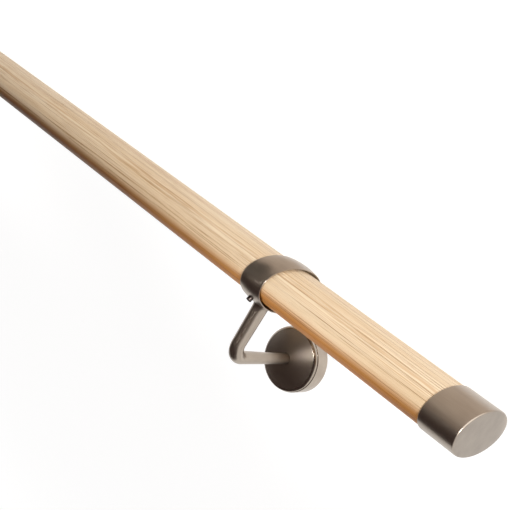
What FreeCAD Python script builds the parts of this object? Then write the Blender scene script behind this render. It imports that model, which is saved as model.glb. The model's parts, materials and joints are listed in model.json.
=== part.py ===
import FreeCAD
import Part
import Sketcher
import math
import os

# Oval oak wall handrail: one length of rail, an end cap on each end and two wall brackets.
# Each bracket is a crowned band round the rail, a bent tapered arm brazed to its wall plate, and the
# turned rose cover that slides along the arm and hides the plate.
# Mounted axes: X along the rail, Y towards the wall, Z up, the rail's axis at Y = Z = 0.
# At the end the whole rail is turned to the way it lies on a floor: on its back, on the wall-side
# crowns of the bands and on the upper rims of the rose covers.

doc = FreeCAD.newDocument("handrail")
vector = FreeCAD.Vector
rotation = FreeCAD.Rotation
placement = FreeCAD.Placement
facing = rotation(vector(0, 0, 1), 180)

# Driving sizes in millimetres, one cell each
sizes = [
    ("rail_length", 1200.0, "oak stock, end to end"),
    ("rail_width", 74.0, "oval, towards the wall"),
    ("rail_height", 37.0, "oval, upright"),
    ("cap_length", 31.0, "end cap, open rim to end face"),
    ("cap_wall", 1.1, "side wall of the cap"),
    ("cap_end", 2.0, "end plate of the cap"),
    ("cap_fit", 0.1, "gap between cap and oak"),
    ("bracket_inset", 203.0, "oak end to the outer bracket's middle"),
    ("band_width", 23.0, "along the rail"),
    ("band_bevel", 1.2, "length of the bevel at each edge"),
    ("band_edge", 1.6, "thickness at the band's edges"),
    ("band_shoulder", 2.6, "thickness where the bevel starts"),
    ("band_crown", 3.6, "thickness at the band's middle"),
    ("band_fit", 0.3, "gap between band and oak"),
    ("arm_front", 14.5, "upright leg, towards the room from the rail's axis"),
    ("arm_top", 13.6, "diameter under the band"),
    ("arm_end", 9.6, "diameter from the bend to the wall plate"),
    ("bend_radius", 12.0, "centre line of the bend"),
    ("wall_distance", 81.0, "rail axis to wall"),
    ("rose_drop", 71.0, "rail axis down to the rose's middle"),
    ("rose_width", 60.0, "outer diameter of the cover"),
    ("rose_depth", 17.0, "wall to the cover's front edge"),
    ("face_rise", 5.0, "how far the cover's face rises from its edge"),
    ("face_top", 30.0, "diameter of the face's flat middle"),
    ("cover_wall", 1.5, "side wall of the cover, and its face at the edge"),
    ("cover_gap", 0.3, "cover's back rim to the wall"),
    ("hole_fit", 0.3, "gap between arm and cover"),
    ("plate_fit", 0.2, "gap between plate and cover"),
    ("plate_thick", 6.0, "wall plate"),
    ("screw_hole", 5.0, "wall screw hole"),
    ("screw_circle", 38.0, "circle through the wall screw holes"),
]
sheet = doc.addObject("Spreadsheet::Sheet", "dims")
for row, (name, value, note) in enumerate(sizes, start=1):
    sheet.set("A%d" % row, name)
    sheet.set("B%d" % row, repr(value))
    sheet.set("C%d" % row, note)
    sheet.setAlias("B%d" % row, name)
doc.recompute()


def dim(name):
    return float(getattr(sheet, name))


def value_of(text):
    # value of a sum of sheet sizes such as dims.cap_length - dims.cap_end
    return float(sheet.evalExpression(text))


def bind(obj, prop, text):
    obj.setExpression(prop, text)


def plane(body, role):
    return [f for f in body.Origin.OriginFeatures if f.Role == role][0]


def new_sketch(body, name, role, offset=None):
    sketch = body.newObject("Sketcher::SketchObject", name)
    sketch.AttachmentSupport = [(plane(body, role), "")]
    sketch.MapMode = "FlatFace"
    if offset is not None:
        bind(sketch, ".AttachmentOffset.Base.z", offset)
    return sketch


def hold(sketch, geo, pos, axis, text):
    # ties one coordinate of a point to the sketch's origin
    if text == "0":
        sketch.addConstraint(Sketcher.Constraint("PointOnObject", geo, pos, -2 if axis == "X" else -1))
        return
    at = sketch.addConstraint(Sketcher.Constraint("Distance" + axis, -1, 1, geo, pos, value_of(text)))
    bind(sketch, "Constraints[%d]" % at, text)


def outline(sketch, corners):
    # closed outline of straight lines through the corners
    places = [vector(value_of(x), value_of(y), 0) for x, y in corners]
    count = len(corners)
    ids = []
    for i in range(count):
        ids.append(sketch.addGeometry(Part.LineSegment(places[i], places[(i + 1) % count]), False))
    for i in range(count):
        sketch.addConstraint(Sketcher.Constraint("Coincident", ids[i], 2, ids[(i + 1) % count], 1))
    for i, (x, y) in enumerate(corners):
        hold(sketch, ids[i], 1, "X", x)
        hold(sketch, ids[i], 1, "Y", y)


def oval(sketch, width, height):
    # ellipse round the sketch's origin, its axes bound to full width and full height
    w, t = value_of(width), value_of(height)
    geo = sketch.addGeometry(Part.Ellipse(vector(0, 0, 0), w / 2, t / 2), False)
    sketch.exposeInternalGeometry(geo)
    sketch.addConstraint(Sketcher.Constraint("Coincident", geo, 3, -1, 1))
    sketch.addConstraint(Sketcher.Constraint("Horizontal", geo + 1))
    at = sketch.addConstraint(Sketcher.Constraint("Distance", geo + 1, w))
    bind(sketch, "Constraints[%d]" % at, width)
    at = sketch.addConstraint(Sketcher.Constraint("Distance", geo + 2, t))
    bind(sketch, "Constraints[%d]" % at, height)


def make_rail():
    body = doc.addObject("PartDesign::Body", "rail")
    sketch = new_sketch(body, "rail_oval", "YZ_Plane")
    oval(sketch, "dims.rail_width", "dims.rail_height")
    pad = body.newObject("PartDesign::Pad", "rail_pad")
    pad.Profile = sketch
    bind(pad, "Length", "dims.rail_length")
    return body


def make_cap(label):
    # open at X = 0, end plate on the +X side
    body = doc.addObject("PartDesign::Body", label)
    outer = new_sketch(body, label + "_outer", "YZ_Plane")
    around = " + 2 * (dims.cap_fit + dims.cap_wall)"
    oval(outer, "dims.rail_width" + around, "dims.rail_height" + around)
    pad = body.newObject("PartDesign::Pad", label + "_pad")
    pad.Profile = outer
    bind(pad, "Length", "dims.cap_length")
    doc.recompute()
    inner = new_sketch(body, label + "_inner", "YZ_Plane")
    oval(inner, "dims.rail_width + 2 * dims.cap_fit", "dims.rail_height + 2 * dims.cap_fit")
    pocket = body.newObject("PartDesign::Pocket", label + "_pocket")
    pocket.Profile = inner
    pocket.Reversed = True
    bind(pocket, "Length", "dims.cap_length - dims.cap_end")
    doc.recompute()
    if pocket.Shape.Volume > 0.5 * pad.Shape.Volume:
        raise RuntimeError(label + ": the cap wasn't hollowed")
    return body


def make_band(label):
    # crowned barrel of straight runs through five ovals, bored to pass the rail
    body = doc.addObject("PartDesign::Body", label)
    edge = "dims.band_width / 2"
    shoulder = "(dims.band_width / 2 - dims.band_bevel)"
    rings = []
    for part, offset, thick in (
        ("near_edge", "-" + edge, "band_edge"),
        ("near_shoulder", "-" + shoulder, "band_shoulder"),
        ("crown", None, "band_crown"),
        ("far_shoulder", shoulder, "band_shoulder"),
        ("far_edge", edge, "band_edge"),
    ):
        ring = new_sketch(body, label + "_" + part, "YZ_Plane", offset)
        around = " + 2 * (dims.band_fit + dims.%s)" % thick
        oval(ring, "dims.rail_width" + around, "dims.rail_height" + around)
        rings.append(ring)
    loft = body.newObject("PartDesign::AdditiveLoft", label + "_barrel")
    loft.Profile = rings[0]
    loft.Sections = rings[1:]
    loft.Ruled = True
    doc.recompute()
    bore = new_sketch(body, label + "_bore_oval", "YZ_Plane", "-" + edge)
    oval(bore, "dims.rail_width + 2 * dims.band_fit", "dims.rail_height + 2 * dims.band_fit")
    pocket = body.newObject("PartDesign::Pocket", label + "_bore")
    pocket.Profile = bore
    pocket.Reversed = True
    bind(pocket, "Length", "dims.band_width")
    doc.recompute()
    if pocket.Shape.Volume > 0.5 * loft.Shape.Volume:
        raise RuntimeError(label + ": the band wasn't bored")
    return body, loft


def lathe(body, name, corners):
    # turned solid: x of a corner is its radius, y its distance from the wall
    sketch = new_sketch(body, name + "_profile", "XY_Plane")
    outline(sketch, corners)
    turned = body.newObject("PartDesign::Revolution", name + "_turned")
    turned.Profile = sketch
    turned.ReferenceAxis = (sketch, ["V_Axis"])
    turned.Angle = 360
    return turned


def make_plate(label):
    # disc with three holes for wall screws, its back on the wall
    body = doc.addObject("PartDesign::Body", label)
    body.Placement.Rotation = facing
    edge = "dims.rose_width / 2 - dims.cover_wall - dims.plate_fit"
    turned = lathe(body, label, [
        ("0", "0"),
        (edge, "0"),
        (edge, "dims.plate_thick"),
        ("0", "dims.plate_thick"),
    ])
    doc.recompute()
    holes = new_sketch(body, label + "_holes", "XZ_Plane")
    for x, y in (
        ("0", "dims.screw_circle / 2"),
        ("-dims.screw_circle / 2 * cos(30)", "-dims.screw_circle / 4"),
        ("dims.screw_circle / 2 * cos(30)", "-dims.screw_circle / 4"),
    ):
        middle = vector(value_of(x), value_of(y), 0)
        geo = holes.addGeometry(Part.Circle(middle, vector(0, 0, 1), dim("screw_hole") / 2), False)
        hold(holes, geo, 3, "X", x)
        hold(holes, geo, 3, "Y", y)
        at = holes.addConstraint(Sketcher.Constraint("Diameter", geo, dim("screw_hole")))
        bind(holes, "Constraints[%d]" % at, "dims.screw_hole")
    drilled = body.newObject("PartDesign::Pocket", label + "_drilled")
    drilled.Profile = holes
    drilled.Type = "ThroughAll"
    drilled.Midplane = True
    doc.recompute()
    if drilled.Shape.Volume > turned.Shape.Volume - 50:
        raise RuntimeError(label + ": the screw holes weren't drilled")
    return body


def make_arm(label, barrel):
    # tapered upright leg whose top is cut to the band's underside, bend, level leg and wall plate
    def solid(kind, name):
        return doc.addObject(kind, label + "_" + name)

    leg = solid("Part::Cone", "leg")
    bind(leg, "Radius1", "dims.arm_end / 2")
    bind(leg, "Radius2", "dims.arm_top / 2")
    bind(leg, "Height", "dims.rose_drop - dims.bend_radius - dims.rail_height / 2")
    bind(leg, ".Placement.Base.y", "-dims.arm_front")
    bind(leg, ".Placement.Base.z", "dims.bend_radius - dims.rose_drop")
    bend = solid("Part::Torus", "bend")
    bind(bend, "Radius1", "dims.bend_radius")
    bind(bend, "Radius2", "dims.arm_end / 2")
    bend.Angle3 = 90
    bend.Placement = placement(vector(), rotation(vector(0, 1, 0), vector(0, 0, 1), vector(1, 0, 0), "XYZ"))
    bend.Placement.Rotation = rotation(vector(1, 0, 0), 180) * bend.Placement.Rotation
    bind(bend, ".Placement.Base.y", "dims.bend_radius - dims.arm_front")
    bind(bend, ".Placement.Base.z", "dims.bend_radius - dims.rose_drop")
    level = solid("Part::Cylinder", "level")
    bind(level, "Radius", "dims.arm_end / 2")
    bind(level, "Height", "dims.wall_distance + dims.arm_front - dims.bend_radius - dims.plate_thick / 2")
    level.Placement = placement(vector(), rotation(vector(1, 0, 0), -90))
    bind(level, ".Placement.Base.y", "dims.bend_radius - dims.arm_front")
    bind(level, ".Placement.Base.z", "-dims.rose_drop")
    plate = make_plate(label + "_plate")
    bind(plate, ".Placement.Base.y", "dims.wall_distance")
    bind(plate, ".Placement.Base.z", "-dims.rose_drop")
    whole = solid("Part::MultiFuse", "whole")
    whole.Shapes = [leg, bend, level, plate]
    arm = doc.addObject("Part::Cut", label)
    arm.Base = whole
    arm.Tool = barrel
    doc.recompute()
    # the cut takes more than a slice of the leg's top as thick as the band's fit, and less than half the leg
    taken = whole.Shape.Volume - arm.Shape.Volume
    if not math.pi / 4 * dim("arm_top") ** 2 * dim("band_fit") < taken < 0.5 * leg.Shape.Volume:
        raise RuntimeError(label + ": the arm's top wasn't cut")
    return arm


def make_cover(label):
    # dish over the wall plate, its face rising as a shallow cone to a flat middle
    body = doc.addObject("PartDesign::Body", label)
    edge = "dims.rose_width / 2"
    inside = "dims.rose_width / 2 - dims.cover_wall"
    hole = "dims.arm_end / 2 + dims.hole_fit"
    lathe(body, label, [
        (edge, "dims.cover_gap"),
        (edge, "dims.rose_depth"),
        ("dims.face_top / 2", "dims.rose_depth + dims.face_rise"),
        (hole, "dims.rose_depth + dims.face_rise"),
        (hole, "dims.rose_depth - dims.cover_wall"),
        (inside, "dims.rose_depth - dims.cover_wall"),
        (inside, "dims.cover_gap"),
    ])
    return body


# How the rail lies: the floor touches the bands' crowns, an oval, and the covers' upper back rims.
# The line from that rim to the oval gives the direction down, in mounted Y and Z.
crown_y = dim("rail_width") / 2 + dim("band_fit") + dim("band_crown")
crown_z = dim("rail_height") / 2 + dim("band_fit") + dim("band_crown")
rim_y = dim("wall_distance") - dim("cover_gap")
rim_z = -dim("rose_drop") + dim("rose_width") / 2
away = math.hypot(rim_y / crown_y, rim_z / crown_z)
touch = math.atan2(rim_z / crown_z, rim_y / crown_y) + math.acos(1 / away)
floor = 1 / math.hypot(math.cos(touch) / crown_y, math.sin(touch) / crown_z)
down = math.atan2(math.sin(touch) / crown_z, math.cos(touch) / crown_y)
room_reach = math.hypot(crown_y * math.sin(down), crown_z * math.cos(down))
wall_reach = rim_y * math.sin(down) + (dim("rose_drop") + dim("rose_width") / 2) * math.cos(down)
lying = placement(
    vector(0, (room_reach - wall_reach) / 2, floor),
    rotation(vector(0, 0, 1), 180) * rotation(vector(1, 0, 0), -90 - math.degrees(down)),
)


def lay(obj, x, y=0.0, z=0.0, turn=None):
    obj.Placement = lying.multiply(placement(vector(x, y, z), turn or rotation()))


parts = []
half = dim("rail_length") / 2
rail = make_rail()
lay(rail, -half)
parts.append(rail)
for label, side in (("end_cap_near", 1), ("end_cap_far", -1)):
    cap = make_cap(label)
    start = half + dim("cap_end") - dim("cap_length")
    lay(cap, side * start, turn=rotation(vector(0, 0, 1), 0 if side > 0 else 180))
    parts.append(cap)

stand = half - dim("bracket_inset")
for name, x in (("near", stand), ("far", -stand)):
    band, barrel = make_band("band_" + name)
    arm = make_arm("arm_" + name, barrel)
    cover = make_cover("rose_cover_" + name)
    lay(band, x)
    lay(arm, x)
    lay(cover, x, dim("wall_distance"), -dim("rose_drop"), facing)
    parts += [band, arm, cover]
doc.recompute()

for obj in doc.Objects:
    if "Invalid" in obj.State or "Error" in obj.State:
        raise RuntimeError("failed to build: " + obj.Label)
for obj in parts:
    if obj.Shape.isNull() or not obj.Shape.isValid() or len(obj.Shape.Solids) != 1:
        raise RuntimeError("not one sound solid: " + obj.Label)

os.makedirs("parts", exist_ok=True)
for obj in parts:
    obj.Shape.exportStep("parts/%s.step" % obj.Label)
    box = obj.Shape.BoundBox
    print("%-20s volume %9.0f  z %.2f to %.2f" % (obj.Label, obj.Shape.Volume, box.ZMin, box.ZMax))
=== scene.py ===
import bmesh
import bpy
import json
import math
import numpy as np
from mathutils import Matrix, Vector


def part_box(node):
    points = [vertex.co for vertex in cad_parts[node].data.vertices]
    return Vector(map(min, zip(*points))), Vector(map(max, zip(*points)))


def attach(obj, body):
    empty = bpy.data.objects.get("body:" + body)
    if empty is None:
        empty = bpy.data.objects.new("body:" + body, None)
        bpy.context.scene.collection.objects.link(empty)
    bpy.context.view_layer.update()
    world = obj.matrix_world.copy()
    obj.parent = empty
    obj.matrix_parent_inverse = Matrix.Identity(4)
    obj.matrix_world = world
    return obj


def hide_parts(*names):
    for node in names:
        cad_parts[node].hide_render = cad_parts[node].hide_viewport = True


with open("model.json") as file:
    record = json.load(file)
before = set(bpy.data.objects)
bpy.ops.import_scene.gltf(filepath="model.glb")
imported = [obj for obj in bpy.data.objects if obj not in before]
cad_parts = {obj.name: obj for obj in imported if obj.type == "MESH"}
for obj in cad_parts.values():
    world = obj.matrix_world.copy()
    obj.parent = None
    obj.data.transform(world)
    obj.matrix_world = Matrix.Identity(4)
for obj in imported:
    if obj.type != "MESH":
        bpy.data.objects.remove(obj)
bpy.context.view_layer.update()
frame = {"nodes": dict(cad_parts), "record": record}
scene = bpy.context.scene
scene.view_settings.view_transform = "Standard"
mm = 0.001
print("frame loaded,", len(frame["nodes"]), "CAD nodes")

# the rail as it hangs on its wall: x along it to the photographed end, y to the wall, z up
wallFaces = {m["name"]: m for m in frame["record"]["mounts"] if m["kind"] == "flat_face"}
railLow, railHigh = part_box("rail")
toWall = Vector(wallFaces["wall_face_near"]["axis"]).normalized()
alongRail = Vector((-1, 0, 0))
hung = Matrix((alongRail, toWall, alongRail.cross(toWall))).transposed().to_4x4()
hung.translation = (railLow + railHigh) / 2
roseAt = {}  # middle of each rose on the wall, in mm along the hung axes
for end in ("near", "far"):
    roseAt[end] = hung.inverted() @ Vector(wallFaces["wall_face_" + end]["pos_m"]) / mm
halfRail = (railHigh.x - railLow.x) / 2 / mm
capFace = -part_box("end_cap_near")[0].x / mm
sideOf = {"near": 1, "far": -1}

# helpers for meshes: rings are lists of points in mm along the hung axes
sharpAngle = 32  # degrees between two faces from which their edge shows
brushSpan = 50  # mm of a flat end across the brush map


def anglesRound(count):
    return np.linspace(0, 2 * np.pi, count, endpoint=False)


def skin(rings, loop=False):
    count = len(rings[0])
    turns = len(rings) if loop else len(rings) - 1
    verts = np.concatenate(rings)
    faces, wraps = [], []
    for i in range(turns):
        a, b = i * count, (i + 1) % len(rings) * count
        for j in range(count):
            k = (j + 1) % count
            faces.append((a + j, a + k, b + k, b + j))
            corners = ((j, i), (j + 1, i), (j + 1, i + 1), (j, i + 1))
            wraps.append([(u / count, v / turns) for u, v in corners])
    if not loop:
        for ends in (range(count - 1, -1, -1), range(len(verts) - count, len(verts))):
            faces.append(tuple(ends))
            wraps.append([(verts[n][1] / brushSpan, verts[n][2] / brushSpan) for n in ends])
    return verts, faces, wraps


def addPiece(name, shells, finish, centre=(0, 0, 0), nodes=()):
    bm = bmesh.new()
    brush = bm.loops.layers.uv.new("brush")
    own = bm.verts.layers.float_vector.new("own")  # place from the piece's own middle, for its patterns
    for verts, faces, wraps, *rest in shells:
        made = []
        places = rest[0] if rest else verts - np.array(centre)
        for p, q in zip(verts, places):
            vert = bm.verts.new(hung @ (Vector(p) * mm))
            vert[own] = Vector(q) * mm
            made.append(vert)
        for corners, wrap in zip(faces, wraps):
            face = bm.faces.new([made[n] for n in corners])
            for loop, uv in zip(face.loops, wrap):
                loop[brush].uv = uv
    bmesh.ops.recalc_face_normals(bm, faces=bm.faces)
    mesh = bpy.data.meshes.new(name)
    bm.to_mesh(mesh)
    bm.free()
    mesh.shade_smooth()
    mesh.set_sharp_from_angle(angle=math.radians(sharpAngle))
    mesh.materials.append(finish)
    piece = bpy.data.objects.new(name, mesh)
    scene.collection.objects.link(piece)
    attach(piece, "root")
    if nodes:
        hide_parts(*nodes)


# helpers for materials
def hexColour(text):
    parts = [int(text[i:i + 2], 16) / 255 for i in (1, 3, 5)]
    return (*[c / 12.92 if c <= 0.04045 else ((c + 0.055) / 1.055) ** 2.4 for c in parts], 1)


def patternScale(size):
    # from how long and wide a pattern's marks are in mm
    along, across = (s * mm for s in size)
    return 1 / along, 1 / across, 1 / across


def addNode(tree, kind, settings=None, inputs=None):
    node = tree.nodes.new(kind)
    for key, value in (settings or {}).items():
        setattr(node, key, value)
    for key, value in (inputs or {}).items():
        if isinstance(value, bpy.types.NodeSocket):
            tree.links.new(value, node.inputs[key])
        else:
            node.inputs[key].default_value = value
    return node


def newFinish(name):
    finish = bpy.data.materials.new(name)
    finish.use_nodes = True
    return finish, finish.node_tree, finish.node_tree.nodes["Principled BSDF"]


# oak, planed and sanded along its length and sealed with satin lacquer: fine straight lines of
# late wood and pores, slow changes of tone, and a soft sheen that whitens it at a glance
oakLook = {
    "early": "#E6CDA9",
    "pale": "#F0DFC4",
    "late": "#D5B48E",  # tint over the ground
    "pore": "#AB865B",  # tint over the ground
    "lowShade": "#BD8448",  # painted shade: a darker, richer tone along the rail's lower edge on the room's side, where it is in shade
    "lowShadeDown": (3, -7),  # mm above the axis, where the painted shade starts and is full
    "lowShadeBack": (34, -19),  # mm towards the wall, where it ends and is still full
    "ring": 0.55,  # mm from ring to ring
    "pith": (0, 46, -58),  # mm from the tree's axis to the rail's
    "lean": (0, 0.25, 0.35),  # degrees between the tree's axis and the rail's
    "ringAlong": 0.035,  # how fast the rings change along the rail
    "lateFrom": (0.5, 1.0),  # share of a ring where late wood starts and is full
    "lateMost": 0.5,
    "fibre": (150, 0.75),  # mm long and wide, coarser than real fibres so that they show
    "poreFrom": (0.53, 0.64),  # height of the fibres where pores start and are full
    "poreMost": 0.85,
    "cloud": (260, 15),  # mm long and wide, patches of tone
    "cloudFrom": (0.3, 0.7),  # height of the patches where the wood is pale and early
    "relief": (0.12, 0.2),  # strength, and depth in mm
    "rough": 0.45,
    "sheen": 0.1,
}
oak, tree, shader = newFinish("lacqueredOak")
place = addNode(tree, "ShaderNodeAttribute", {"attribute_name": "own"}).outputs["Vector"]
ringAt = addNode(tree, "ShaderNodeMapping", None, {
    "Vector": place,
    "Location": [p * mm for p in oakLook["pith"]],
    "Rotation": [math.radians(a) for a in oakLook["lean"]],
    "Scale": (oakLook["ringAlong"], 1, 1),
})
# a wave's own period is a tenth of pi
rings = addNode(tree, "ShaderNodeTexWave",
                {"wave_type": "RINGS", "rings_direction": "X", "wave_profile": "SIN"},
                {"Vector": ringAt.outputs["Vector"], "Scale": math.pi / 10 / (oakLook["ring"] * mm),
                 "Distortion": 6.0, "Detail": 3.0, "Detail Scale": 0.7, "Detail Roughness": 0.6})
start, full = oakLook["lateFrom"]
lateWood = addNode(tree, "ShaderNodeMapRange", {"interpolation_type": "SMOOTHSTEP"},
                   {"Value": rings.outputs["Fac"], "From Min": start, "From Max": full,
                    "To Max": oakLook["lateMost"]})
fibreAt = addNode(tree, "ShaderNodeMapping", None, {"Vector": place, "Scale": patternScale(oakLook["fibre"])})
fibres = addNode(tree, "ShaderNodeTexNoise", None,
                 {"Vector": fibreAt.outputs["Vector"], "Scale": 1.0, "Detail": 4.0, "Roughness": 0.7})
start, full = oakLook["poreFrom"]
pores = addNode(tree, "ShaderNodeMapRange", {"interpolation_type": "SMOOTHSTEP"},
                {"Value": fibres.outputs["Fac"], "From Min": start, "From Max": full,
                 "To Max": oakLook["poreMost"]})
cloudAt = addNode(tree, "ShaderNodeMapping", None, {"Vector": place, "Scale": patternScale(oakLook["cloud"])})
clouds = addNode(tree, "ShaderNodeTexNoise", None,
                 {"Vector": cloudAt.outputs["Vector"], "Scale": 1.0, "Detail": 2.0})
start, full = oakLook["cloudFrom"]
tone = addNode(tree, "ShaderNodeMapRange", None,
               {"Value": clouds.outputs["Fac"], "From Min": start, "From Max": full})
ground = addNode(tree, "ShaderNodeMix", {"data_type": "RGBA"},
                 {0: tone.outputs["Result"], 6: hexColour(oakLook["pale"]), 7: hexColour(oakLook["early"])})
axes = addNode(tree, "ShaderNodeSeparateXYZ", None, {0: place})
# painted shade: the oak is tinted darker and richer below the axis on the room's side, fading out towards the
# wall
lowShadeAt = 1.0
for axis, key in ((2, "lowShadeDown"), (1, "lowShadeBack")):
    start, full = oakLook[key]
    inside = addNode(tree, "ShaderNodeMapRange", {"interpolation_type": "SMOOTHSTEP"},
                     {"Value": axes.outputs[axis], "From Min": start * mm, "From Max": full * mm})
    lowShadeAt = addNode(tree, "ShaderNodeMath", {"operation": "MULTIPLY"},
                      {0: lowShadeAt, 1: inside.outputs["Result"]}).outputs[0]
lowShaded = addNode(tree, "ShaderNodeMix", {"data_type": "RGBA"},
                  {0: lowShadeAt, 6: ground.outputs[2], 7: hexColour(oakLook["lowShade"])})
lined = addNode(tree, "ShaderNodeMix", {"data_type": "RGBA", "blend_type": "MULTIPLY"},
                {0: lateWood.outputs["Result"], 6: lowShaded.outputs[2], 7: hexColour(oakLook["late"])})
flecked = addNode(tree, "ShaderNodeMix", {"data_type": "RGBA", "blend_type": "MULTIPLY"},
                  {0: pores.outputs["Result"], 6: lined.outputs[2], 7: hexColour(oakLook["pore"])})
tree.links.new(flecked.outputs[2], shader.inputs["Base Color"])
strength, depth = oakLook["relief"]
sanded = addNode(tree, "ShaderNodeBump", None,
                 {"Height": fibres.outputs["Fac"], "Strength": strength, "Distance": depth * mm})
tree.links.new(sanded.outputs["Normal"], shader.inputs["Normal"])
shader.inputs["Roughness"].default_value = oakLook["rough"]
shader.inputs["Specular IOR Level"].default_value = oakLook["sheen"]
print("oak ready")

# nickel plate on steel, brushed along its length: warm grey, soft wide reflections with faint lines
nickelLook = {
    "light": "#B6AA9C",
    "deep": "#A99C8F",
    "line": (14, 0.5),  # mm long and wide, coarser than a real brush's so that it shows
    "patch": (22, 9),  # mm long and wide, slow changes of the plate's tone
    "lineShare": 0.5,  # how much the lines count in the tone, beside the patches
    "toneFrom": (0.45, 1.05),  # height of both where the plate is light and deep
    "rough": 0.34,
    "roughSwing": 0.09,  # more and less than that from line to line
    "relief": (0.06, 0.05),  # strength, and depth in mm
}
# the same plate turned on a lathe: the lines run round, a lamp shows as a streak across them, and
# the rim is polished
turnedLook = {
    "line": 0.35,  # mm from line to line, coarser than a real tool's so that it shows
    "rough": 0.4,
    "stretch": 0.6,
    "streakTurn": 0.25,  # of a circle from the lines, so that the streak runs out from the middle
    "rim": (26.4, 27.2),  # mm from the middle, where the face ends and the polish is full
    "polished": 0.19,
}


def makeNickel(name, turned):
    finish, tree, shader = newFinish(name)
    place = addNode(tree, "ShaderNodeAttribute", {"attribute_name": "own"}).outputs["Vector"]
    if turned:
        split = addNode(tree, "ShaderNodeSeparateXYZ", None, {0: place})
        flat = addNode(tree, "ShaderNodeCombineXYZ", None, {0: split.outputs[0], 1: split.outputs[2]})
        out = addNode(tree, "ShaderNodeVectorMath", {"operation": "LENGTH"}, {0: flat.outputs[0]})
        radius = addNode(tree, "ShaderNodeCombineXYZ", None, {0: out.outputs["Value"], 1: split.outputs[1]})
        lineAt = addNode(tree, "ShaderNodeVectorMath", {"operation": "SCALE"},
                         {0: radius.outputs[0], "Scale": 1 / (turnedLook["line"] * mm)})
    else:
        lineAt = addNode(tree, "ShaderNodeMapping", None,
                         {"Vector": place, "Scale": patternScale(nickelLook["line"])})
    lines = addNode(tree, "ShaderNodeTexNoise", None,
                    {"Vector": lineAt.outputs[0], "Scale": 1.0, "Detail": 2.0, "Roughness": 0.5})
    patchAt = addNode(tree, "ShaderNodeMapping", None,
                      {"Vector": place, "Scale": patternScale(nickelLook["patch"])})
    patches = addNode(tree, "ShaderNodeTexNoise", None,
                      {"Vector": patchAt.outputs[0], "Scale": 1.0, "Detail": 1.0})
    blend = addNode(tree, "ShaderNodeMath", {"operation": "MULTIPLY_ADD"},
                    {0: lines.outputs["Fac"], 1: nickelLook["lineShare"], 2: patches.outputs["Fac"]})
    light, deep = nickelLook["toneFrom"]
    amount = addNode(tree, "ShaderNodeMapRange", None,
                     {"Value": blend.outputs[0], "From Min": light, "From Max": deep})
    colour = addNode(tree, "ShaderNodeMix", {"data_type": "RGBA"},
                     {0: amount.outputs["Result"], 6: hexColour(nickelLook["light"]),
                      7: hexColour(nickelLook["deep"])})
    tree.links.new(colour.outputs[2], shader.inputs["Base Color"])
    if turned:
        faceEnd, polishFull = turnedLook["rim"]
        rough = addNode(tree, "ShaderNodeMapRange", None,
                        {"Value": out.outputs["Value"], "From Min": faceEnd * mm, "From Max": polishFull * mm,
                         "To Min": turnedLook["rough"], "To Max": turnedLook["polished"]})
        around = addNode(tree, "ShaderNodeTangent", {"direction_type": "UV_MAP", "uv_map": "brush"})
        tree.links.new(around.outputs[0], shader.inputs["Tangent"])
        shader.inputs["Anisotropic Rotation"].default_value = turnedLook["streakTurn"]
        shader.inputs["Anisotropic"].default_value = turnedLook["stretch"]
    else:
        rough = addNode(tree, "ShaderNodeMapRange", None,
                        {"Value": lines.outputs["Fac"],
                         "To Min": nickelLook["rough"] - nickelLook["roughSwing"],
                         "To Max": nickelLook["rough"] + nickelLook["roughSwing"]})
    tree.links.new(rough.outputs["Result"], shader.inputs["Roughness"])
    strength, depth = nickelLook["relief"]
    brushed = addNode(tree, "ShaderNodeBump", None,
                      {"Height": lines.outputs["Fac"], "Strength": strength, "Distance": depth * mm})
    tree.links.new(brushed.outputs["Normal"], shader.inputs["Normal"])
    shader.inputs["Metallic"].default_value = 1.0
    return finish


nickel = makeNickel("brushedNickelPlate", False)
turnedNickel = makeNickel("turnedNickelPlate", True)

# blackened steel of the clamp screws, tumbled in oil: dark, with lighter worn specks and a dull shine
screwLook = {
    "steel": "#4A423E",
    "worn": "#8A7F76",
    "speck": (0.6, 0.6),  # mm
    "wornFrom": (0.5, 0.8),  # height of the specks where the wear starts and is full
    "wornMost": 0.6,
    "rough": 0.38,
}
blackSteel, tree, shader = newFinish("oiledBlackSteel")
place = addNode(tree, "ShaderNodeAttribute", {"attribute_name": "own"}).outputs["Vector"]
speckAt = addNode(tree, "ShaderNodeMapping", None,
                  {"Vector": place, "Scale": patternScale(screwLook["speck"])})
specks = addNode(tree, "ShaderNodeTexNoise", None,
                 {"Vector": speckAt.outputs["Vector"], "Scale": 1.0, "Detail": 2.0})
start, full = screwLook["wornFrom"]
wear = addNode(tree, "ShaderNodeMapRange", None,
               {"Value": specks.outputs["Fac"], "From Min": start, "From Max": full,
                "To Max": screwLook["wornMost"]})
worn = addNode(tree, "ShaderNodeMix", {"data_type": "RGBA"},
               {0: wear.outputs["Result"], 6: hexColour(screwLook["steel"]), 7: hexColour(screwLook["worn"])})
tree.links.new(worn.outputs[2], shader.inputs["Base Color"])
shader.inputs["Metallic"].default_value = 1.0
shader.inputs["Roughness"].default_value = screwLook["rough"]
print("metals ready")

# oak rail: a plain oval bar with eased ends inside its caps, in mm
railSizes = {
    "width": 74,
    "height": 37,
    "ease": 0.6,
    "around": 224,  # points round the oval
    "step": 60,
}


def oval(x, grow):
    t = anglesRound(railSizes["around"])
    y = (railSizes["width"] / 2 + grow) * np.cos(t)
    z = (railSizes["height"] / 2 + grow) * np.sin(t)
    return np.c_[np.full(len(t), x), y, z]


straight = halfRail - railSizes["ease"]
sections = [oval(-halfRail, -railSizes["ease"])]
for x in np.linspace(-straight, straight, int(2 * straight / railSizes["step"])):
    sections.append(oval(x, 0))
sections.append(oval(halfRail, -railSizes["ease"]))
addPiece("oakRail", [skin(sections)], oak, nodes=["rail"])
print("rail ready")

# end caps: drawn cups pushed over the rail's ends, with a small round at the face, in mm
capSizes = {
    "length": 31,
    "fit": 0.1,
    "wall": 1.1,
    "floor": 2.0,
    "edge": 1.3,
    "lip": 0.3,
    "inset": 8,  # from the oak's outline to the last ring of the flat face
    "middle": 15,  # from the face to the middle of its pattern
    "steps": 9,
}


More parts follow.
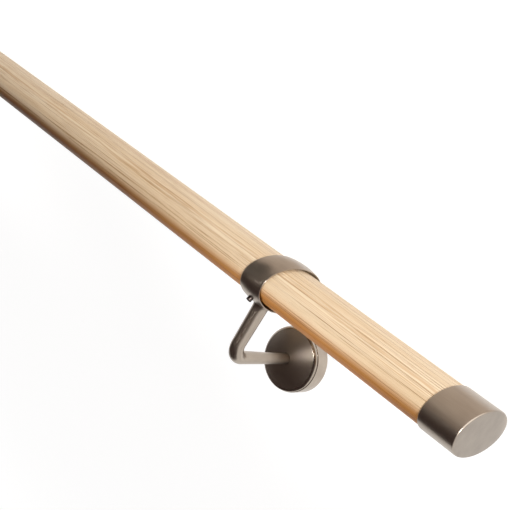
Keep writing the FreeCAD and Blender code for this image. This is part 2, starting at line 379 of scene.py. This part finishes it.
def addCap(end):
    side, s = sideOf[end], capSizes
    lip, outer = capFace - s["length"], s["fit"] + s["wall"]
    profile = [
        (capFace - s["floor"], s["fit"]),
        (lip, s["fit"]),
        (lip, outer - s["lip"]),
        (lip + s["lip"], outer),
    ]
    for turn in np.linspace(0, math.pi / 2, s["steps"]):
        profile.append((capFace + s["edge"] * (math.sin(turn) - 1), outer + s["edge"] * (math.cos(turn) - 1)))
    profile.append((capFace, -s["inset"]))
    cup = skin([oval(side * x, grow) for x, grow in profile])
    centre = (side * (capFace - s["middle"]), 0, 0)
    addPiece("endCap" + end.title(), [cup], nickel, centre, ["end_cap_" + end])


# bands: crowned rings round the rail, thin at their edges, where a gap shows, in mm
bandSizes = {
    "width": 23,
    "fit": 0.3,
    "gap": 1.8,
    "flare": 4.0,
    "edge": 2.2,
    "shoulder": 2.6,
    "crown": 3.6,
    "bevel": 1.2,
    "steps": 18,
    "bevelSteps": 7,
}


def bandRise(x):
    # height of the crown over the rail at x from its middle
    s = bandSizes
    flat = s["width"] / 2 - s["bevel"]
    if abs(x) <= flat:
        return s["fit"] + s["crown"] - (s["crown"] - s["shoulder"]) * (x / flat) ** 2
    across = (abs(x) - flat) / s["bevel"]
    return s["fit"] + s["edge"] + (s["shoulder"] - s["edge"]) * math.sqrt(max(0.0, 1 - across ** 2))


def bandHalves(x):
    # half the width and height of the band's outside at x from its middle
    grow = bandRise(x)
    return railSizes["width"] / 2 + grow, railSizes["height"] / 2 + grow


def underBand(x, y):
    # the band's underside, for the arm's top and the screws to lie on
    a, b = bandHalves(x)
    return -b * math.sqrt(1 - (y / a) ** 2)


def addBand(end):
    s, at = bandSizes, roseAt[end].x
    half = s["width"] / 2
    flat = half - s["bevel"]
    outer = list(np.linspace(-flat, flat, s["steps"]))
    corner = [flat + s["bevel"] * math.sin(a) for a in np.linspace(0, math.pi / 2, s["bevelSteps"])[1:]]
    outer = [-x for x in reversed(corner)] + outer + corner
    profile = [(x, bandRise(x)) for x in outer]
    inner = half - s["flare"]
    profile += [
        (half, s["fit"] + s["gap"]),
        (inner, s["fit"]),
        (-inner, s["fit"]),
        (-half, s["fit"] + s["gap"]),
    ]
    ring = skin([oval(at + x, grow) for x, grow in profile], loop=True)
    addPiece("band" + end.title(), [ring], nickel, (at, 0, 0), ["band_" + end])


# arms: a tapered rod from a small collar under the band, bent to the wall and brazed to its plate, in mm
armSizes = {
    "front": 14.5,  # from the rail's axis towards the room, half way down the leg
    # each ring of the collar, its radius and how far below the band
    "collar": ((7.2, -0.2), (7.2, 0.5), (7.05, 0.78), (6.75, 0.9), (6.95, 1.0), (6.7, 1.4)),
    "legFrom": 2.4,  # below the band, where the leg's rings lie level
    "top": 6.7,
    "aboveBend": 6.1,
    "atBend": 6.5,
    "belowBend": 5.7,
    "wall": 4.4,
    "bend": 13,
    "lean": 4.2,  # towards the room on the way down
    "inPlate": 2,
    "brushed": 6,  # radius at which the brush's pattern is laid out
    "around": 64,
    "steps": 16,
}
plateSizes = {
    "radius": 28.3,
    "thick": 6,
    "hole": 2.5,
    "circle": 19,
    "turns": (90, 210, 330),  # degrees
    "around": 96,
    "holeAround": 32,
}


def makeArm(end):
    s, rose = armSizes, roseAt[end]
    t = anglesRound(s["around"])
    topZ, bendZ = underBand(0, 0), rose.z + s["bend"]
    rings = []

    def legAt(z):
        return -s["front"] - s["lean"] * ((z - topZ) / (bendZ - topZ) - 0.5)

    for r, below in s["collar"]:
        x, y = r * np.cos(t), legAt(topZ - below) + r * np.sin(t)
        z = [underBand(p, q) - below for p, q in zip(x, y)]
        rings.append(np.c_[rose.x + x, y, z])
    firstZ = topZ - s["legFrom"]
    for f in np.linspace(0, 1, s["steps"]):
        r = s["top"] + (s["aboveBend"] - s["top"]) * f
        z = firstZ + (bendZ - firstZ) * f
        rings.append(np.c_[rose.x + r * np.cos(t), legAt(z) + r * np.sin(t), np.full(len(t), z)])
    legY = legAt(bendZ)
    for f in np.linspace(0, 1, s["steps"])[1:]:
        r = np.interp(f, (0, 0.5, 1), (s["aboveBend"], s["atBend"], s["belowBend"]))
        turn = f * math.pi / 2
        reach = s["bend"] - r * np.sin(t)
        y = legY + s["bend"] - reach * math.cos(turn)
        rings.append(np.c_[rose.x + r * np.cos(t), y, bendZ - reach * math.sin(turn)])
    firstY, lastY = legY + s["bend"], rose.y - plateSizes["thick"] + s["inPlate"]
    for f in np.linspace(0, 1, s["steps"])[1:]:
        r = s["belowBend"] + (s["wall"] - s["belowBend"]) * f
        y = firstY + (lastY - firstY) * f
        rings.append(np.c_[rose.x + r * np.cos(t), np.full(len(t), y), rose.z + r * np.sin(t)])
    # the brush ran along the rod, so its pattern is laid out straight
    places, run = [], 0.0
    for i, ring in enumerate(rings):
        if i:
            run += np.linalg.norm(ring.mean(0) - rings[i - 1].mean(0))
        places.append(np.c_[np.full(len(t), run), s["brushed"] * np.cos(t), s["brushed"] * np.sin(t)])
    return (*skin(rings), np.concatenate(places))


def makePlate(end):
    # a disc with three screw holes, its back on the wall
    s, rose = plateSizes, roseAt[end]
    bm = bmesh.new()
    edges = []
    spots = [(0, 0, s["radius"], s["around"])]
    for turn in s["turns"]:
        a = math.radians(turn)
        spots.append((s["circle"] * math.cos(a), s["circle"] * math.sin(a), s["hole"], s["holeAround"]))
    for x, z, r, count in spots:
        ring = [bm.verts.new((x + r * math.cos(a), 0, z + r * math.sin(a))) for a in anglesRound(count)]
        edges += [bm.edges.new((ring[i], ring[(i + 1) % count])) for i in range(count)]
    bmesh.ops.triangle_fill(bm, use_beauty=True, edges=edges)
    front = bmesh.ops.extrude_face_region(bm, geom=list(bm.faces))
    for item in front["geom"]:
        if isinstance(item, bmesh.types.BMVert):
            item.co.y -= s["thick"]
    bm.verts.index_update()
    verts = np.array([v.co for v in bm.verts]) + np.array(rose)
    faces = [tuple(v.index for v in f.verts) for f in bm.faces]
    bm.free()
    wraps = [[(verts[n][0] / brushSpan, verts[n][2] / brushSpan) for n in f] for f in faces]
    return verts, faces, wraps


# rose covers: turned dishes over the wall plates, with a fine groove inside the rim of a domed face, in mm
roseSizes = {
    "radius": 30,
    "wall": 1.5,
    "depth": 17,
    "gap": 0.3,
    "foot": 0.2,
    # the groove and its shoulders, in from the side and down from the rim
    "groove": ((0, 3.1), (0.08, 2.75), (0.3, 2.45), (0.6, 2.25), (0.95, 2.2), (1.6, 2.15), (1.6, 1.5),
               (0.9, 1.45), (0.5, 1.3)),
    "bevel": ((78, 0.6), (62, 0.8), (42, 0.5), (34, 0.9), (28, 0.8)),  # each step's tilt in degrees, length
    "rise": 5.2,
    "faceStep": 0.5,
    "hole": 5.1,
    "holeEase": (0.3, 0.25),  # across and down
    "around": 160,
    "steps": 22,
}


def addRose(end):
    s, rose = roseSizes, roseAt[end]
    edge, rim = s["radius"], s["depth"]
    profile = [
        (edge - s["wall"], s["gap"]),
        (edge - s["foot"], s["gap"]),
        (edge, s["gap"] + s["foot"]),
    ]
    profile += [(edge - across, rim - down) for across, down in s["groove"]]
    for tilt, slant in s["bevel"]:
        r, h = profile[-1]
        profile.append((r - slant * math.cos(math.radians(tilt)), h + slant * math.sin(math.radians(tilt))))
    faceEdge, faceLow = profile[-1]
    dome = s["rise"] / (1 - (s["hole"] / faceEdge) ** 2)
    across, down = s["holeEase"]
    for r in np.linspace(faceEdge - s["faceStep"], s["hole"] + across, s["steps"]):
        profile.append((r, faceLow + dome * (1 - (r / faceEdge) ** 2)))
    profile += [
        (s["hole"], profile[-1][1] - down),
        (s["hole"], rim - s["wall"]),
        (edge - s["wall"], rim - s["wall"]),
    ]
    t = anglesRound(s["around"])
    rings = []
    for r, h in profile:
        rings.append(np.c_[rose.x + r * np.cos(t), np.full(len(t), rose.y - h), rose.z + r * np.sin(t)])
    dish = skin(rings, loop=True)
    addPiece("roseCover" + end.title(), [dish], turnedNickel, rose, ["rose_cover_" + end])


# clamp screws: pan heads with a hexagon socket, two under each band, in mm
clampSizes = {
    "places": {"Room": -30.3, "Wall": 3},  # from the rail's axis towards the wall
    "radius": 2.4,
    "high": 3.0,
    "sunk": 0.4,
    "ease": 0.6,
    "easeSteps": 5,
    "socket": 1.25,
    "socketEase": 0.12,
    "deep": 1.4,
    "around": 48,
}


def addScrews(end):
    s, rose = clampSizes, roseAt[end]
    t = anglesRound(s["around"])
    hexagon = s["socket"] / np.cos((t % (math.pi / 3)) - math.pi / 6)
    profile = [(s["radius"], -s["sunk"]), (s["radius"], s["high"] - s["ease"])]
    for turn in np.linspace(0, math.pi / 2, s["easeSteps"])[1:]:
        across, down = s["ease"] * (1 - math.cos(turn)), s["ease"] * (1 - math.sin(turn))
        profile.append((s["radius"] - across, s["high"] - down))
    profile += [
        (hexagon + s["socketEase"], s["high"]),
        (hexagon, s["high"] - s["socketEase"]),
        (hexagon, s["high"] - s["deep"]),
    ]
    a, b = bandHalves(0)
    for side, y in s["places"].items():
        foot = Vector((rose.x, y, underBand(0, y)))
        out = Vector((0, y / a ** 2, foot.z / b ** 2)).normalized()
        over = out.cross(Vector((1, 0, 0)))
        rings = []
        for r, h in profile:
            middle = np.array(foot + out * h)
            rings.append(middle + np.outer(r * np.cos(t), (1, 0, 0)) + np.outer(r * np.sin(t), over))
        addPiece("clampScrew" + end.title() + side, [skin(rings)], blackSteel, foot)


for end in ("near", "far"):
    addCap(end)
    addBand(end)
    arm = [makeArm(end), makePlate(end)]
    addPiece("arm" + end.title(), arm, nickel, roseAt[end], ["arm_" + end])
    addRose(end)
    addScrews(end)
print("caps, bands, arms, rose covers and clamp screws ready")

# studio: a white floor and room, a dark flag overhead and a pale one behind the camera for the metal to
# reflect; sizes and places in m
studio = {
    "floor": "#9C9A97",
    "floorSize": (30, 30),
    "floorRough": 0.9,
    "floorSheen": 0.1,
    "floorGlow": (0.58, 0.94),  # as light on the object, and as seen
    "room": "#FFFFFF",
    "roomGlow": (0.12, 1.0),  # as light on the object, and as seen
    "flag": "#524745",
    "flagSize": (7, 4.4),
    "flagAt": (1.5, -0.2, 1.3),  # open towards the near end and the wall's side, where the metal is light
    "sideFlag": "#8E8177",
    "sideFlagGlow": 0.72,
    "sideFlagSize": (10, 10),
    "sideFlagAt": (0, -2.4, 0),
}


def stageFinish(name, colour, rough=1.0, sheen=0.0, glowColour="#FFFFFF", glow=0.0):
    finish, tree, shader = newFinish(name)
    shader.inputs["Base Color"].default_value = hexColour(colour)
    shader.inputs["Roughness"].default_value = rough
    shader.inputs["Specular IOR Level"].default_value = sheen
    shader.inputs["Emission Color"].default_value = hexColour(glowColour)
    shader.inputs["Emission Strength"].default_value = glow
    return finish, tree, shader


def glowBySight(tree, glow):
    # one strength for what gives light to the object, another for what the camera and reflections see
    lighting, seen = glow
    path = addNode(tree, "ShaderNodeLightPath")
    sight = path.outputs["Is Camera Ray"]
    for kind in ("Is Glossy Ray", "Is Transmission Ray"):
        either = addNode(tree, "ShaderNodeMath", {"operation": "MAXIMUM"}, {0: sight, 1: path.outputs[kind]})
        sight = either.outputs[0]
    shine = addNode(tree, "ShaderNodeMapRange", None, {"Value": sight, "To Min": lighting, "To Max": seen})
    return shine.outputs["Result"]


def addSheet(name, size, place, finish, upright=False):
    x, y = size[0] / 2, size[1] / 2
    mesh = bpy.data.meshes.new(name)
    mesh.from_pydata([(-x, -y, 0), (x, -y, 0), (x, y, 0), (-x, y, 0)], [], [(0, 1, 2, 3)])
    mesh.materials.append(finish)
    sheet = bpy.data.objects.new(name, mesh)
    sheet.location = place
    if upright:
        sheet.rotation_euler.x = math.pi / 2
    scene.collection.objects.link(sheet)
    return sheet


paint, tree, shader = stageFinish("paintedFloor", studio["floor"], studio["floorRough"], studio["floorSheen"])
tree.links.new(glowBySight(tree, studio["floorGlow"]), shader.inputs["Emission Strength"])
addSheet("floor", studio["floorSize"], (0, 0, 0), paint)
flagCloth = stageFinish("flagCloth", studio["flag"])[0]
flag = addSheet("flag", studio["flagSize"], studio["flagAt"], flagCloth)
flag.visible_camera = False
paleCloth = stageFinish("paleFlagCloth", studio["sideFlag"], glowColour=studio["sideFlag"],
                        glow=studio["sideFlagGlow"])[0]
sideFlag = addSheet("sideFlag", studio["sideFlagSize"], studio["sideFlagAt"], paleCloth, upright=True)
sideFlag.visible_camera = False

# cards that only reflections show: size and middle in m, upright or flat, colour and glow
cards = {
    "fadeCard": ((4, 4), (0.6, -2.06, 0.002), False, "#FFF0E2", 0.355),  # darker floor away from the rail
    "edgeCard": ((0.18, 0.17), (-0.7, -0.155, 0.004), False, "#FFFFFF", 2.0),  # bright line on the cap's edge
    "greyCard": ((0.795, 0.8), (-1.0025, 0.34, 0.003), False, "#FFFFFF", 0.84),  # grey on the cap's face
    "dimCard": ((1.2, 1.3), (0.6, -1.3, 1.28), False, "#FFF3E8", 0.21),  # even patch below the flag
    "bandFloorCard": ((0.87, 0.34), (0.06, -0.28, 0.0045), False, "#FFF3E8", 0.1),  # wider dark on the band
    "bandCard": ((0.8, 0.3), (0.09, -0.45, 0.15), True, "#FFF3E8", 0.1),  # the same, above the floor
}
fadePower = -0.3  # of the distance across the floor, by which the fade card darkens
for name, (size, place, upright, colour, glow) in cards.items():
    cloth, tree, shader = stageFinish(name + "Cloth", "#000000", glowColour=colour, glow=glow)
    if name == "fadeCard":
        spot = addNode(tree, "ShaderNodeNewGeometry").outputs["Position"]
        outY = addNode(tree, "ShaderNodeSeparateXYZ", None, {0: spot}).outputs[1]
        away = addNode(tree, "ShaderNodeMath", {"operation": "ABSOLUTE"}, {0: outY}).outputs[0]
        falling = addNode(tree, "ShaderNodeMath", {"operation": "POWER"}, {0: away, 1: fadePower}).outputs[0]
        fade = addNode(tree, "ShaderNodeMath", {"operation": "MULTIPLY"}, {0: falling, 1: glow})
        tree.links.new(fade.outputs[0], shader.inputs["Emission Strength"])
    card = addSheet(name, size, place, cloth, upright)
    for ray in ("camera", "diffuse", "transmission", "volume_scatter", "shadow"):
        setattr(card, "visible_" + ray, False)

world = bpy.data.worlds.new("whiteRoom")
world.use_nodes = True
scene.world = world
background = world.node_tree.nodes["Background"]
background.inputs["Color"].default_value = hexColour(studio["room"])
roomShine = glowBySight(world.node_tree, studio["roomGlow"])
world.node_tree.links.new(roomShine, background.inputs["Strength"])

# lamps: what each lights, direction from there, distance and size in m, power in W, spread in degrees;
# the top and far lamps light the oak and leave the metal dark
lamps = {
    "keyLamp": {"aim": (-0.42, -0.03, 0.04), "way": (-0.72, -0.68, 0.11), "distance": 1.5, "size": 0.3,
                "power": 18, "spread": 180, "inMetal": True},
    "streakLamp": {"aim": (-0.39, 0.05, 0.03), "way": (-0.06, -0.79, 0.61), "distance": 1.6, "size": 0.22,
                   "power": 0.019, "spread": 14, "inMetal": True},
    "topLamp": {"aim": (-0.45, -0.04, 0.05), "way": (-0.05, 0.1, 0.9), "distance": 0.38, "size": 0.2,
                "power": 0.31, "spread": 95, "inMetal": False},
    "farLamp": {"aim": (0.45, -0.04, 0.05), "way": (0.05, 0.1, 0.9), "distance": 0.42, "size": 0.2,
                "power": 0.42, "spread": 95, "inMetal": False},
}
for name, s in lamps.items():
    light = bpy.data.lights.new(name, "AREA")
    light.shape = "DISK"
    light.size = s["size"]
    light.energy = s["power"]
    light.spread = math.radians(s["spread"])
    lamp = bpy.data.objects.new(name, light)
    lamp.location = Vector(s["aim"]) + Vector(s["way"]).normalized() * s["distance"]
    lamp.rotation_mode = "QUATERNION"
    lamp.rotation_quaternion = Vector(s["way"]).to_track_quat("Z", "Y")
    lamp.visible_camera = False
    lamp.visible_glossy = s["inMetal"]
    scene.collection.objects.link(lamp)

# the photograph's camera, turned so that the rail looks as it hangs; place in m, lens and sensor in mm
photoCamera = {
    "place": (-0.796746, -0.558432, 0.353201),
    "way": (0.590324, 0.679527, -0.435616),
    "top": (0.480825, -0.729526, -0.486415),
    "lens": 61.906,
    "sensor": 36,
    "clip": (0.01, 100),
}
lens = bpy.data.cameras.new("photoCamera")
lens.lens = photoCamera["lens"]
lens.sensor_width = photoCamera["sensor"]
lens.clip_start, lens.clip_end = photoCamera["clip"]
camera = bpy.data.objects.new("photoCamera", lens)
way = Vector(photoCamera["way"]).normalized()
across = way.cross(Vector(photoCamera["top"])).normalized()
turn = Matrix((across, across.cross(way), -way)).transposed()
camera.matrix_world = Matrix.Translation(photoCamera["place"]) @ turn.to_4x4()
scene.collection.objects.link(camera)
scene.camera = camera
print("studio and camera ready")
